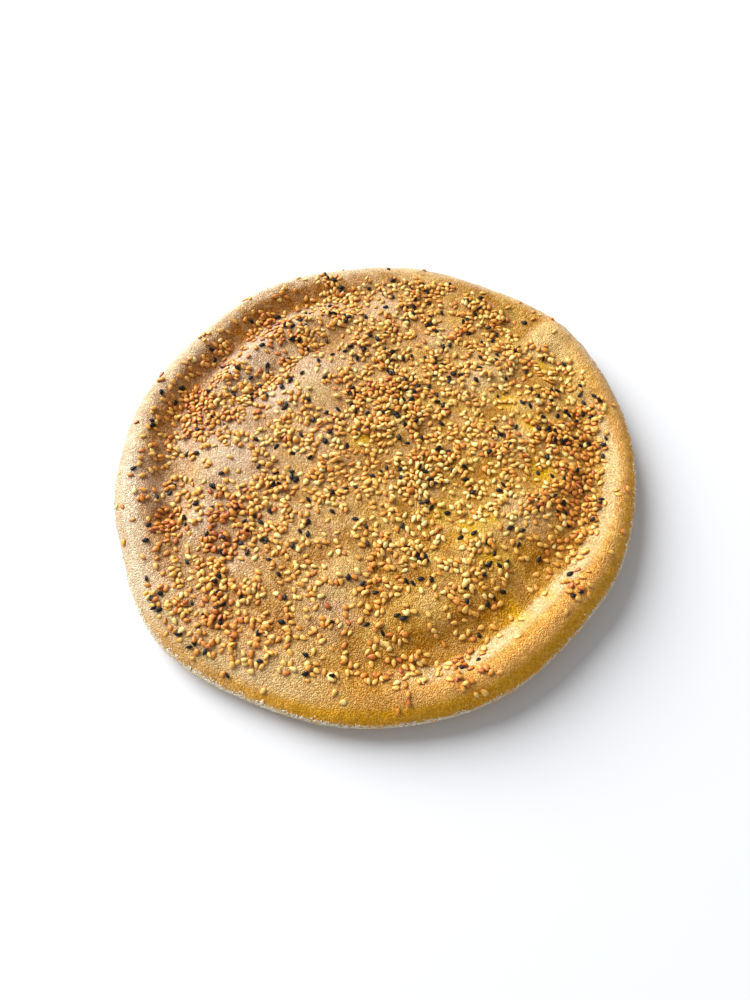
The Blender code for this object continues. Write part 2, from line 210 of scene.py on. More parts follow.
# Masks of the crust: (x, y, radius, all in mm, strength)
OILY = (
    (56, 27, 4, 1.0), (66, 15, 5, 1.0), (68, -8, 5, 1.0), (74, 47, 3.5, 0.8), (25, -27, 5, 0.7),
    (37, -36, 6, 0.9), (46, -30, 4, 0.8), (45, -47, 5, 0.6), (4, 68, 4, 0.8), (-6, 8, 5, 0.8),
    (54, -69, 5, 0.7), (66, -61, 3, 0.6),
)
OCHRE = (
    (60, -47, 12, 0.8), (46, -68, 14, 0.9), (24, -84, 11, 0.7), (72, -40, 7, 0.5),
    (8, -72, 12, 0.6), (-6, -94, 12, 0.8), (14, -84, 8, 0.4), (56, -14, 7, 0.5),
    (42, -13, 7, 0.5), (-22, 55, 8, 0.5), (-14, 8, 10, 0.3), (70, 42, 6, 0.6),
    (-16, 71, 7, 0.4), (30, 20, 14, 0.2),
)
# Pink crust, partly painted sheen on ridges at the left that mirror the lamp
ROSY = (
    (-27, 47, 9, 0.9), (-24, 86, 7, 0.8), (-64, 62, 6, 0.9), (-77, 46, 7, 0.6),
    (-56, 59, 8, 1.0), (-45, 72, 7, 0.8), (-68, 45, 9, 0.9), (-46, 32, 10, 0.6),
    (-62, 2, 15, 0.8), (-60, 52, 9, 0.6), (-98, -8, 8, 0.9), (-22, 12, 8, 0.6),
    (-38, 30, 8, 0.5), (-84, 6, 8, 0.5), (-92, -22, 9, 0.8), (-70, -28, 7, 0.9),
    (-86, -50, 10, 0.5), (-36, 76, 8, 0.6), (4, 78, 8, 0.7), (28, 62, 8, 0.4),
    (-48, 28, 8, 0.5), (-55, -45, 7, 0.6), (-46, -88, 8, 0.4), (22, -90, 7, 0.4),
    (-18, -68, 9, 0.5), (-12, 50, 10, 0.4), (44, 42, 10, 0.4), (60, -28, 8, 0.5),
    (60, 10, 7, 0.4),
)
# The bump at the upper right, the light crest before it, and light places on the lower edge
LIT = (
    (78, 59, 7, 1.0), (86, 50, 7, 0.8), (69, 52, 7, 0.7), (54, 46, 9, 0.8), (14, -99, 6, 0.9),
    (-47, -91, 8, 1.0), (-34, -92, 9, 0.6),
)
# Painted shade at the foot of the left rim, in the hollow beside the bump, and at places right of the middle
# and below
DEEP = (
    (-91, -6, 7, 0.5), (-88, -25, 7, 0.7), (-83, -44, 8, 0.6), (62, 72, 6, 0.6),
    (20, -7, 15, 0.7), (-27, -66, 14, 0.45), (-8, -82, 14, 0.35), (-6, -38, 13, 0.4),
)
# Browner crust where it is toasted, and painted shade at the foot of the left rim
BROWNED = (
    (-62, -36, 7, 0.4), (-40, -42, 13, 0.4), (20, 68, 7, 0.4), (-60, -66, 12, 0.5),
    (-44, 42, 8, 0.3), (-22, 62, 8, 0.5), (-86, -28, 8, 0.9), (-82, -44, 8, 0.6),
    (-88, -6, 7, 0.5), (-42, -78, 9, 0.5), (48, 80, 8, 0.5), (5, 48, 8, 0.5), (62, 37, 6, 0.6),
    (80, -22, 11, 0.6), (84, 4, 10, 0.4), (22, 84, 10, 0.4), (-4, 30, 10, 0.3),
    (-10, -5, 10, 0.3),
)

# Painted light on a finger mark's crest and painted shade in its hollow, from the first height, fully at the
# second
CREST_LIT = (0.0003, 0.0016)
HOLLOW_DEEP = (0.0002, 0.0015)
MARK_TINT = 0.7  # how strongly, at the most

# The crust turns yellower to the right, along this slope of y against x, between these places
YELLOW_SLOPE = 0.3
YELLOW_SPAN = (-0.075, 0.035)

# Masks round the rim: arcs of (degrees, half width in degrees, strength), and the insets where they
# start to show, show fully, begin to fade and are gone
# Brown along the furrow's outer wall, partly painted shade where the wall faces away from the lamp
FURROW_BROWN = (
    ((106, 12, 1.2), (126, 12, 1.1), (148, 16, 0.8), (172, 14, 0.7)),
    (0.0095, 0.0135, 0.0190, 0.0220),
)
EDGE_LIT = (((244, 18, 1.0), (216, 12, 0.4)), (0.0025, 0.0060, 0.0140, 0.0185))
# Pale dough on the rim's inner wall, made paler still as painted light where the wall faces the lamp
WALL_PALE = (
    ((292, 14, 1.0), (320, 18, 1.0), (349, 15, 0.6), (8, 12, 0.6)),
    (0.0105, 0.0140, 0.0172, 0.0184),
)
FOOT_INSET = 0.0195  # the furrow's lowest line, in the pale wall's insets
CREST_TAN = (
    ((280, 22, 0.8), (316, 22, 1.0), (2, 20, 0.7), (32, 16, 0.3)),
    (0.0030, 0.0062, 0.0105, 0.0135),
)
# Creamy outer rim, partly painted highlight where the rim faces the lamp
OUTER_CREAM = (
    (
        (32, 14, 0.6), (58, 18, 0.3), (85, 20, 0.35), (112, 18, 0.8), (135, 20, 0.6),
        (165, 22, 0.4), (195, 20, 0.4), (214, 9, 0.5),
    ),
    (-0.0020, -0.0010, 0.0040, 0.0090),
)
CREAM_FADE = (-0.10, 0.20)  # the creamy rim and its painted highlight fade out below the first of these turns up the side
# Creamy left rim, partly painted highlight
LEFT_CREAM = (((194, 24, 0.5),), (0.0040, 0.0060, 0.0100, 0.0135))
OUTER_OCHRE = (
    (
        (224, 9, 0.4), (243, 12, 0.6), (264, 16, 1.0), (292, 22, 1.0), (322, 22, 1.0),
        (346, 20, 0.9), (8, 16, 0.6),
    ),
    (-0.0020, -0.0010, 0.0028, 0.0072),
)
BRANNY = (
    (228, 14, 1.0), (254, 16, 1.0), (280, 14, 0.9), (306, 14, 0.5), (332, 14, 0.6),
    (354, 10, 0.2),
)
FLOUR_REACH = (0.57, 0.38)  # turn up the side where the flour ends: mean, and wave round the bread
FLOUR_SOFTNESS = 0.05

# Patterns of the crust: (size, noise from which it shows, where it shows fully, how strongly)
CLOUDS = (0.0120, 0.38, 0.62, 1.00)
BLOTCHES = (0.0045, 0.36, 0.62, 1.00)
PINK_CLOUDS = (0.0065, 0.50, 0.66, 0.55)
GOLD_CLOUDS = (0.0085, 0.50, 0.68, 0.60)
CLOUDY = (3.0, 0.6)  # detail and roughness of a noise
PLAIN_NOISE = (2.0, 0.5)
BRAN_NOISE = (2.0, 0.55)
OTHER_PART = (0.5, 0.3, 0.7)  # moves a pattern to another part of its noise

# Colours
LEFT_CRUST = (srgb(189, 140, 78), srgb(245, 216, 174))  # dark and light clouds
RIGHT_CRUST = (srgb(189, 131, 18), srgb(249, 209, 112))
PINK_CRUST = srgb(232, 186, 142)
GOLD_CRUST = srgb(226, 172, 60)
MASK_TONES = (  # mask, how strongly it shows between the blotches, colour
    ("lit", 0.75, srgb(255, 220, 152)),
    # pink crust with painted sheen
    ("rosy", 0.70, srgb(255, 230, 208)),
    ("ochre", 0.80, srgb(208, 146, 0)),
    # browner crust and painted shade
    ("browned", 0.60, srgb(208, 134, 6)),
    # creamy rim with painted highlight
    ("cream", 0.85, srgb(255, 242, 212)),
    ("tan", 0.80, srgb(255, 186, 96)),
    ("side", 0.90, srgb(255, 184, 18)),
    # pale wall, partly painted light
    ("pale", 0.75, srgb(255, 238, 192)),
    ("oily", 0.75, srgb(255, 206, 0)),
)
STAIN = srgb(150, 84, 20)  # brown stain and painted shade on the crust between seeds
FLOUR = srgb(255, 250, 230)
# Painted glint on the lightest grains
GLITTER = srgb(255, 230, 178)
SHEEN_TINTS = (srgb(255, 246, 236), srgb(255, 214, 130))  # left and right

# What the crust's colour is multiplied by
# Painted shade in hollows and shaded places
DEEP_TINT = (0.68, 0.62, 0.52, 1.0)
# Darker grains, and painted shade in the grains' hollows
DARK_GRAIN = (0.62, 0.40, 0.15, 1.0)
LIGHT_GRAIN = (1.46, 1.58, 1.70, 1.0)

# Grains of the crust
FINE_GRAIN = 0.00052
COARSE_GRAIN = 0.00100
GRAIN_EDGE = 0.7  # distance from a grain's middle, in grains, where it has no height left
GRAIN_HEIGHTS = (0.90, 0.30)  # shares of the fine and the coarse grains
GRAIN_TONES = (0.62, 0.38)
GRAIN_BUMP = 0.00060
LIT_SMOOTH = 0.50  # how much of these masks smooths the grain
MASKS_SMOOTH = 0.60
# how much painted glint the lightest grains get
GLITTER_SHARE = 0.24
OIL_WET = 0.16  # how much less rough the oily places are

# Ramps: (from, to, result at each)
STAINED = (0.30, 0.95, 0.0, 0.60)
DUSTED = (0.50, 0.62, 0.0, 1.0)
GRAINED = (0.0, 1.0, 1.0, 0.36)
# painted shade in the grains' hollows
HOLLOWS_DARK = (0.40, 0.90, 0.50, 0.0)
GRAINS_DARK = (0.12, 0.52, 0.90, 0.0)
GRAINS_LIGHT = (0.50, 0.88, 0.0, 0.90)
CRUST_ROUGHNESS = (0.0, 1.0, 0.48, 0.30)
CRUST_SHEEN = (0.0, 0.8, 0.75, 0.12)
SESAME_MOTTLED = (0.3, 0.7, -0.10, 0.10)
SESAME_TIPPED = (0.0, 0.35, 0.14, 0.0)
# Sesame painted lighter on top and darker below, as painted light and shade
SESAME_BENEATH = (0.10, 0.70, -0.12, 0.30)

# Sesame, from the palest to the darkest tone
SESAME_COLOURS = (
    (0.0, srgb(250, 226, 148)),
    (0.28, srgb(242, 191, 90)),
    (0.55, srgb(230, 156, 52)),
    (0.80, srgb(208, 116, 34)),
    (1.0, srgb(160, 72, 26)),
)
SESAME_GLOW = (1.0, 0.55, 0.25)  # how far each colour of light goes into a seed, in GLOW_DEPTH
GLOW_DEPTH = 0.0008
NIGELLA_COLOURS = (srgb(12, 9, 8), srgb(32, 26, 22))
BRAN_COLOURS = (srgb(236, 220, 182), srgb(255, 250, 236))
FLOOR_COLOUR = srgb(234, 235, 238)
FLOOR_HALF = 2.5

# Camera: a phone's wide lens, held close over the bread
CAMERA_LENS = 25.92
CAMERA_SENSOR = 36.0
CAMERA_TILT = 63.62  # degrees over the horizon
CAMERA_DISTANCE = 0.2986
CAMERA_TARGET = (-0.0007, -0.0184, 0.0100)
CLIP_START = 0.01

# Light: one large soft lamp and an even surrounding
KEY_AZIMUTH = 138.0  # degrees anticlockwise from +X
KEY_HEIGHT = 34.5  # degrees over the horizon
KEY_REACH = 3.2
KEY_SIZE = 2.7
KEY_POWER = 202.0
FILL_STRENGTH = 0.35
FILL_COLOUR = (0.95, 0.98, 1.0, 1.0)


# --- form ---


def arcs_at(angle, arcs):
    """Sum of smooth arcs round the bread: (degrees, half width in degrees, strength)."""
    total = 0.0
    for centre, half_width, strength in arcs:
        away = (np.degrees(angle) - centre + 180.0) % 360.0 - 180.0
        total = total + strength * np.exp(-((away / half_width) ** 2))
    return total


def lobes_at(angle, lobes):
    """The same sum where the strengths are in mm, in metres."""
    return MM * arcs_at(angle, lobes)


def patches_at(x, y, patches):
    """Sum of round smooth patches at a point."""
    total = 0.0
    for patch_x, patch_y, radius, more in patches:
        dx = x / MM - patch_x
        dy = y / MM - patch_y
        total = total + more * np.exp(-(dx * dx + dy * dy) / (radius * radius))
    return total


def smooth_step(value, low, high):
    share = np.clip((value - low) / (high - low), 0.0, 1.0)
    return share * share * (3.0 - 2.0 * share)


def outline_radius(angle):
    total = MEAN_RADIUS
    for count, size, crest in OUTLINE_WAVES:
        total = total + size * MM * np.cos(count * (angle - math.radians(crest)))
    return total + lobes_at(angle, OUTLINE_LOBES)


def shoulder_width(angle):
    return SHOULDER_WIDTH + lobes_at(angle, SHOULDER_LOBES)


def rim_height(angle):
    return RIM_HEIGHT + lobes_at(angle, RIM_LIFTS)


def bulge_height(angle):
    return BULGE_SHARE * rim_height(angle)


def finger_marks(x, y):
    """Height that the long soft dents and ridges add at a point."""
    total = 0.0
    for mark_x, mark_y, half_length, half_width, degrees, height in FINGER_MARKS:
        turn = math.radians(degrees)
        dx = x / MM - mark_x
        dy = y / MM - mark_y
        along = (dx * math.cos(turn) + dy * math.sin(turn)) / half_length
        across = (dy * math.cos(turn) - dx * math.sin(turn)) / half_width
        total = total + height * MM * np.exp(-(along * along + across * across))
    return total


def crown_height(angle, radius):
    """Height of the top of the loaf, before the shoulder rounds it off."""
    inset = outline_radius(angle) - radius
    dome = MIDDLE_DOME * (1.0 - (radius / MEAN_RADIUS) ** 2)
    share = smooth_step(inset, *RIM_BLEND)
    height = rim_height(angle) * (1.0 - share) + (MIDDLE_HEIGHT + dome) * share
    past = inset - FURROW_INSET - lobes_at(angle, FURROW_SHIFTS)
    span = np.where(past > 0.0, FURROW_RISE + lobes_at(angle, FURROW_RISES), FURROW_WALL)
    height = height - lobes_at(angle, FURROW_DEPTHS) * np.exp(-np.abs(past / span) ** 3)
    return height + finger_marks(radius * np.cos(angle), radius * np.sin(angle))


def surface_height(x, y):
    """Height of the crust over a point of the plan, down to the widest line of the side."""
    angle = np.arctan2(y, x)
    radius = np.hypot(x, y)
    crown = crown_height(angle, radius)
    inset = outline_radius(angle) - radius
    sine = np.clip(1.0 - inset / shoulder_width(angle), 0.0, 1.0)
    low = bulge_height(angle)
    return low + (crown - low) * np.sqrt(1.0 - sine * sine)


def surface_normal(x, y):
    rise_x = float(surface_height(x + SLOPE_STEP, y) - surface_height(x - SLOPE_STEP, y))
    rise_y = float(surface_height(x, y + SLOPE_STEP) - surface_height(x, y - SLOPE_STEP))
    return Vector((-rise_x / (2.0 * SLOPE_STEP), -rise_y / (2.0 * SLOPE_STEP), 1.0)).normalized()


def topping_weight(x, y):
    """How thickly the seeds lie at a point, from 0 to 1."""
    angle = np.arctan2(y, x)
    inset = outline_radius(angle) - np.hypot(x, y)
    bare = BARE_EDGE + lobes_at(angle, BARE_EDGE_LOBES)
    covered = smooth_step(inset, bare - BARE_EDGE_SOFTNESS, bare + BARE_EDGE_SOFTNESS)
    weight = (BACKGROUND_SEEDS + patches_at(x, y, SEED_PATCHES)) * covered
    return np.clip(weight + patches_at(x, y, RIM_PATCHES), STRAY_SEEDS, 1.0)


# --- crust ---


def on_circle(angle, radius, height):
    return np.stack([radius * np.cos(angle), radius * np.sin(angle), height], axis=-1)


def crown_points(angle, share):
    """Points of the top: share is 0 at the centre and 1 at the crest line of the rim."""
    radius = share * (outline_radius(angle) - shoulder_width(angle))
    return on_circle(angle, radius, crown_height(angle, radius))


def shoulder_points(angle, turn):
    """Points between the crest line, at turn 0, and the widest line, at turn a quarter circle."""
    radius = outline_radius(angle) - shoulder_width(angle) * (1.0 - math.sin(turn))
    low = bulge_height(angle)
    return on_circle(angle, radius, low + (crown_height(angle, radius) - low) * math.cos(turn))


def underside_points(angle, turn):
    """Points between the widest line, at turn 0, and the edge of the flat base."""
    radius = outline_radius(angle) - UNDERSIDE_ROUND * (1.0 - math.cos(turn))
    return on_circle(angle, radius, bulge_height(angle) * (1.0 - math.sin(turn)))


def disc_places(u, v):
    """Angle and share of the radius that a square grid's points take when its squares become rings."""
    wide = np.abs(u) >= np.abs(v)
    long_side = np.where(wide, u, v)
    safe = np.where(np.abs(long_side) < TINY, 1.0, long_side)
    turn = math.pi / 4.0 * np.where(wide, v, -u) / safe
    start = np.where(wide, np.where(u > 0.0, 0.0, math.pi), np.where(v > 0.0, 0.5, -0.5) * math.pi)
    return turn + start, np.abs(long_side)


def loaf_points():
    """Points of the fine loaf: the top's rings, then the side's rings from the crest line down."""
    line = np.linspace(-1.0, 1.0, TOP_GRID + 1)
    v, u = np.meshgrid(line, line, indexing="ij")
    angle, share = disc_places(u, v)
    points = [crown_points(angle, share).reshape(-1, 3)]
    rim = np.array(rim_order())
    rim_angle = angle.reshape(-1)[rim]
    for step in range(1, SIDE_STEPS + 1):
        points.append(shoulder_points(rim_angle, math.pi / 2.0 * step / SIDE_STEPS))
    for step in range(1, UNDER_STEPS + 1):
        points.append(underside_points(rim_angle, math.pi / 2.0 * step / UNDER_STEPS))
    return np.concatenate(points)


def rim_order():
    """Numbers of the grid's outermost points, anticlockwise."""
    side = TOP_GRID + 1
    last = side - 1
    bottom = list(range(last))
    right = [row * side + last for row in range(last)]
    top = [last * side + column for column in range(last, 0, -1)]
    left = [row * side for row in range(last, 0, -1)]
    return bottom + right + top + left


def loaf_faces():
    side = TOP_GRID + 1
    faces = []
    for row in range(TOP_GRID):
        for column in range(TOP_GRID):
            corner = row * side + column
            faces.append((corner, corner + 1, corner + side + 1, corner + side))
    ring = rim_order()
    first = side * side
    for _ in range(SIDE_STEPS + UNDER_STEPS):
        following = list(range(first, first + len(ring)))
        for here in range(len(ring)):
            there = (here + 1) % len(ring)
            faces.append((ring[here], following[here], following[there], ring[there]))
        ring = following
        first += len(ring)
    faces.append(tuple(reversed(ring)))
    return faces


def roughen_skin(mesh):
    """Small swellings and dimples of the crust, fading out where it meets the table."""
    places = read_vectors(mesh, "co")
    normals = read_vectors(mesh, "normal")
    swell = [
        sum(size * noise.noise(Vector(place) / cell) for cell, size in SKIN_RELIEF) for place in places
    ]
    fade = np.clip(places[:, 2] / TABLE_FADE, 0.0, 1.0)
    places += normals * (np.array(swell) * fade)[:, None]
    mesh.vertices.foreach_set("co", places.ravel())
    mesh.update()


def make_mesh(name, points, faces):
    mesh = bpy.data.meshes.new(name)
    mesh.from_pydata(points.tolist(), [], faces)
    mesh.update()
    return mesh


def read_vectors(mesh, name):
    """All vertices' places or normals, one row each."""
    values = np.empty(len(mesh.vertices) * 3)
    mesh.vertices.foreach_get(name, values)
    return values.reshape(-1, 3)


def make_loaf():
    mesh = make_mesh("crust", loaf_points(), loaf_faces())
    roughen_skin(mesh)
    mesh.shade_smooth()
    paint_crust(mesh)
    return place_object("crust", mesh, crust_material())


def flour_line(angle):
    """Where the flour on the side ends, as a turn up from the widest line: lowest at the front."""
    return FLOUR_REACH[0] + FLOUR_REACH[1] * np.sin(angle)


def side_turn(angle, inset, z):
    """How far round the side a point is: 0 on the widest line, more above it and less below."""
    above = np.arccos(np.clip(1.0 - inset / shoulder_width(angle), -1.0, 1.0))
    below = np.arcsin(np.clip(1.0 - z / bulge_height(angle), 0.0, 1.0))
    return np.where(z < bulge_height(angle), -below, above)


def round_rim(angle, inset, arcs, insets):
    """Strength of a mask that follows the rim."""
    band = smooth_step(inset, *insets[:2]) * (1.0 - smooth_step(inset, *insets[2:]))
    return arcs_at(angle, arcs) * band


def paint_crust(mesh):
    """Stores how strongly each of the crust's colours shows at each point."""
    x, y, z = read_vectors(mesh, "co").T
    angle = np.arctan2(y, x)
    inset = outline_radius(angle) - np.hypot(x, y)
    from_foot = inset - FURROW_INSET - lobes_at(angle, FURROW_SHIFTS) + FOOT_INSET
    turn = side_turn(angle, inset, z)
    rise = finger_marks(x, y)
    # creamy rim with painted highlight where it faces the lamp
    cream = round_rim(angle, inset, *OUTER_CREAM) * smooth_step(turn, *CREAM_FADE)
    floured = smooth_step(flour_line(angle) - turn, -FLOUR_SOFTNESS, FLOUR_SOFTNESS)
    lit = patches_at(x, y, LIT) + round_rim(angle, inset, *EDGE_LIT)
    store(
        mesh,
        oily=patches_at(x, y, OILY),
        ochre=patches_at(x, y, OCHRE),
        # pink crust with painted sheen
        rosy=patches_at(x, y, ROSY),
        lit=lit + MARK_TINT * smooth_step(rise, *CREST_LIT),
        # painted shade in hollows and shaded places
        deep=patches_at(x, y, DEEP) + MARK_TINT * smooth_step(-rise, *HOLLOW_DEEP),
        # browner crust and painted shade
        browned=patches_at(x, y, BROWNED) + round_rim(angle, inset, *FURROW_BROWN),
        # pale wall, partly painted light where it faces the lamp
        pale=round_rim(angle, from_foot, *WALL_PALE),
        tan=round_rim(angle, inset, *CREST_TAN),
        side=round_rim(angle, inset, *OUTER_OCHRE),
        cream=cream + round_rim(angle, inset, *LEFT_CREAM),
        yellower=smooth_step(x - YELLOW_SLOPE * y, *YELLOW_SPAN),
        floury=arcs_at(angle, BRANNY) * floured,
    )


def store(mesh, **masks):
    """Stores each mask's values, from 0 to 1, for the mesh's points."""
    for name, values in masks.items():
        attribute = mesh.attributes.new(name, "FLOAT", "POINT")
        attribute.data.foreach_set("value", np.clip(values, 0.0, 1.0).astype(np.float32))


# --- seeds ---


class Bed:
    """Heights of what the next seed comes to lie on: the crust and the seeds already there."""

    def __init__(self):
        half = MEAN_RADIUS + BED_MARGIN
        self.start = -half
        axis = np.arange(-half, half, BED_CELL)
        y, x = np.meshgrid(axis, axis, indexing="ij")
        self.crust = surface_height(x, y)
        self.heights = self.crust.copy()

    def cells(self, x, y):
        column = np.rint((x - self.start) / BED_CELL).astype(int)
        row = np.rint((y - self.start) / BED_CELL).astype(int)
        last = len(self.heights) - 1
        return np.clip(row, 0, last), np.clip(column, 0, last)

    def cover(self, x, y, z):
        np.maximum.at(self.heights, self.cells(x, y), z)

    def near_seeds(self):
        """Share of the bed within a short reach of each cell that seeds cover."""
        share = (self.heights - self.crust > BED_COVERED).astype(float)
        steps = range(-BED_REACH, BED_REACH + 1)
        for axis in (0, 1):
            share = sum(np.roll(share, step, axis) for step in steps) / len(steps)
        return share


def fullness(along, taper):
    """Half width of a seed, as a share of the widest, from its tip at 0 to its round end at 1."""
    to_tip, to_end, greatest = taper
    return along**to_tip * (1.0 - along) ** to_end / greatest


def footprint(size, steps_along, steps_across):
    """Points under a seed in its own axes, with half its thickness at each."""
    length, width, thickness = size
    along, across = np.meshgrid(
        (np.arange(steps_along) + 0.5) / steps_along,
        (np.arange(steps_across) + 0.5) / steps_across * 2.0 - 1.0,
        indexing="ij",
    )
    full = fullness(along, SESAME_TAPER)
    inside = np.abs(across) < full
    depth = np.sqrt(np.clip(1.0 - (across / np.maximum(full, TINY)) ** 2, 0.0, 1.0)) * full
    x = (along[inside] - 0.5) * length
    y = across[inside] * width / 2.0
    return x, y, depth[inside] * thickness / 2.0


def lie_on(bed, x, y, heading, size, sink):
    """How a seed lies at a spot of the bed: its height over the crust, its centre and its axes."""
    foot_x, foot_y, foot_depth = footprint(size, *COARSE_FOOT)
    cosine = math.cos(heading)
    sine = math.sin(heading)
    under = bed.cells(x + foot_x * cosine - foot_y * sine, y + foot_x * sine + foot_y * cosine)
    ground = bed.heights[under]
    terms = np.stack([np.ones_like(foot_x), foot_x, foot_y], axis=1)
    level, *slopes = np.linalg.lstsq(terms, ground, rcond=None)[0]
    slope_along, slope_across = np.clip(slopes, -SEED_SLOPE, SEED_SLOPE)
    plane = level + slope_along * foot_x + slope_across * foot_y
    centre = level + np.max(ground - plane + foot_depth) - sink
    forward = Vector((cosine, sine, slope_along)).normalized()
    sideways = Vector((-sine, cosine, slope_across))
    sideways = (sideways - forward * sideways.dot(forward)).normalized()
    axes = Matrix((forward, sideways, forward.cross(sideways))).transposed()
    return centre - float(bed.crust[bed.cells(x, y)]), Vector((x, y, centre)), axes


def mark_seed(bed, centre, axes, size):
    """Raises the bed to the top of a seed that now lies there."""
    foot_x, foot_y, foot_depth = footprint(size, *FINE_FOOT)
    world = np.array(axes) @ np.stack([foot_x, foot_y, foot_depth])
    bed.cover(centre.x + world[0], centre.y + world[1], centre.z + world[2])


def any_spot(draw):
    """A random place in the plan."""
    angle = draw.uniform(0.0, 2.0 * math.pi)
    radius = math.sqrt(draw.random()) * (float(outline_radius(angle)) - SEED_MARGIN)
    return radius * math.cos(angle), radius * math.sin(angle)


def scatter(draw, count, spacing):
    """Random places in the plan, closer together where the topping is thick."""
    places = []
    for _ in range(MOST_TRIES):
        if len(places) == count:
            break
        place = Vector(any_spot(draw))
        if draw.random() > topping_weight(*place):
            continue
        if all((place - other).length > spacing for other in places):
            places.append(place)
    return places


def fused_stance(draw, place, thickness):
    """The stance of a seed that is part of the solid, from the same draws."""
    normal = surface_normal(place.x, place.y)
    heading = Matrix.Rotation(draw.uniform(0.0, 2.0 * math.pi), 3, "Z")
    lean = Matrix.Rotation(math.radians(draw.uniform(-SEED_TILT, SEED_TILT)), 3, "Y")
    scale = 1.0 + SEED_SIZE_SPREAD * draw.uniform(-1.0, 1.0)
    up = normal.to_track_quat("Z", "Y").to_matrix()
    ground = Vector((place.x, place.y, float(surface_height(place.x, place.y))))
    return ground + normal * (SEED_SINK * thickness), up @ heading @ lean, scale


def lay_topping():
    """All seeds: those of the solid first, then the rest, each resting on what lies under it."""
    draw = random.Random(FIRST_DRAW)
    bed = Bed()
    sesame = []
    nigella = []
    for number, place in enumerate(scatter(draw, FUSED_SEEDS, FUSED_SPACING)):
        dark = number % NIGELLA_EVERY == 0
        base = NIGELLA_SIZE if dark else SESAME_SIZE
        centre, axes, scale = fused_stance(draw, place, base[2])
        size = tuple(side * scale for side in base)
        mark_seed(bed, centre, axes, size)
        (nigella if dark else sesame).append((centre, axes, size))
    rest = random.Random(DROP_DRAW)
    while len(sesame) < SESAME_COUNT or len(nigella) < NIGELLA_COUNT:
        due = len(nigella) / NIGELLA_COUNT < len(sesame) / SESAME_COUNT
        seed = drop_seed(rest, bed, NIGELLA_SIZE if due else SESAME_SIZE)
        if seed:
            (nigella if due else sesame).append(seed)
    return sesame, nigella, bed


def drop_seed(draw, bed, base):
    """Drops a seed, if topping is due there, and lets it slide to the lowest spot nearby."""
    x, y = any_spot(draw)
    clumped = 1.0 + sum(more * noise.noise(Vector((x, y, 0.0)) / size) for size, more in CLUMPS)
    if draw.random() > topping_weight(x, y) * clumped:
        return None
    length, width, thickness = base
    scale = draw.gauss(*DROPPED_SIZE)
    wider = draw.gauss(1.0, WIDTH_SPREAD)
    thicker = draw.gauss(1.0, THICKNESS_SPREAD)
    size = (length * scale, width * scale * wider, thickness * scale * thicker)
    sink = draw.uniform(*BAKED_IN)
    spots = []
    for _ in range(SPOTS_TRIED):
        spot_x = x + draw.gauss(0.0, SPOT_REACH)
        spot_y = y + draw.gauss(0.0, SPOT_REACH)
        spots.append(lie_on(bed, spot_x, spot_y, draw.uniform(0.0, 2.0 * math.pi), size, sink))
    pile, centre, axes = min(spots, key=lambda spot: spot[0])
    if pile > MOST_PILE:
        return None
    mark_seed(bed, centre, axes, size)
    return centre, axes, size


def sesame_section(turn):
    """How far a cross section reaches: flattened, with a blunt edge all round."""
    return 1.0 - SESAME_EDGE * math.cos(2.0 * turn) ** 2


def nigella_section(turn):
    """The same for nigella: three-sided with sharp ridges."""
    depth, ridges, start = NIGELLA_RIDGES
    return 1.0 - depth * math.cos(ridges * turn + start)


def seed_shape(draw, taper, section):
    """One uneven seed of unit length, width and thickness: points and faces."""
    bend = draw.uniform(-SEED_BEND, SEED_BEND)
    hump = draw.uniform(-SEED_HUMP, SEED_HUMP)
    points = [(-0.5, bend * 0.5**2, 0.0)]
    for ring in range(1, SEED_RINGS):
        along = 0.5 - 0.5 * math.cos(math.pi * ring / SEED_RINGS)
        from_middle = along - 0.5
        full = fullness(along, taper)
        for corner in range(SEED_CORNERS):
            turn = 2.0 * math.pi * corner / SEED_CORNERS
            reach = full * section(turn) * draw.uniform(*SEED_UNEVENNESS)
            across = bend * from_middle**2 + reach * math.cos(turn) / 2.0
            height = hump * from_middle**2 + reach * math.sin(turn) / 2.0
            points.append((from_middle, across, height))
    points.append((0.5, bend * 0.5**2, 0.0))
    return np.array(points), seed_faces(len(points) - 1)


def seed_faces(last):
    """Faces from the tip, point 0, over the rings to the round end, point last."""
    faces = []
    for corner in range(SEED_CORNERS):
        there = (corner + 1) % SEED_CORNERS
        faces.append((0, 1 + there, 1 + corner))
        for ring in range(SEED_RINGS - 2):
            first = 1 + ring * SEED_CORNERS
            following = first + SEED_CORNERS
            faces.append((first + corner, first + there, following + there, following + corner))
        end = last - SEED_CORNERS
        faces.append((end + corner, end + there, last))
    return faces


def seed_shapes(draw, taper, section):
    return [seed_shape(draw, taper, section) for _ in range(SHAPES_PER_KIND)]


def join(name, parts):
    """One mesh of many small shapes, each given as its points and its faces."""
    points = []
    faces = []
    first = 0
    for shape, shape_faces in parts:
        points.append(shape)
        faces.extend([tuple(first + corner for corner in face) for face in shape_faces])
        first += len(shape)
    return make_mesh(name, np.concatenate(points), faces)


def joined_seeds(name, seeds, shapes, draw, tones):
    """One mesh of seeds, with each seed's tone, each point's place along it, and how low each point lies on
    it, for painted light and shade.
    """
    parts = []
    tone = []
    along = []
    beneath = []
    for (centre, axes, size), own_tone in zip(seeds, tones):
        shape, faces = shapes[draw.randrange(len(shapes))]
        parts.append(((shape * np.array(size)) @ np.array(axes).T + np.array(centre), faces))
        tone.append(np.full(len(shape), own_tone))
        along.append(shape[:, 0] + 0.5)
        # how low the point lies on its seed, for painted light on top and painted shade below
        beneath.append(0.5 - shape[:, 2])
    mesh = join(name, parts)
    mesh.shade_smooth()
    store(mesh, tone=np.concatenate(tone), along=np.concatenate(along), beneath=np.concatenate(beneath))
    return mesh


def sesame_tones(draw, seeds):
    """How dark each seed is, from 0 to 1."""
    mean, spread = SESAME_TONE
    tones = []
    for centre, _, _ in seeds:
        more = float(patches_at(centre.x, centre.y, TOASTED))
        tones.append(min(max(draw.gauss(mean + more, spread), 0.0), 1.0))
    return tones


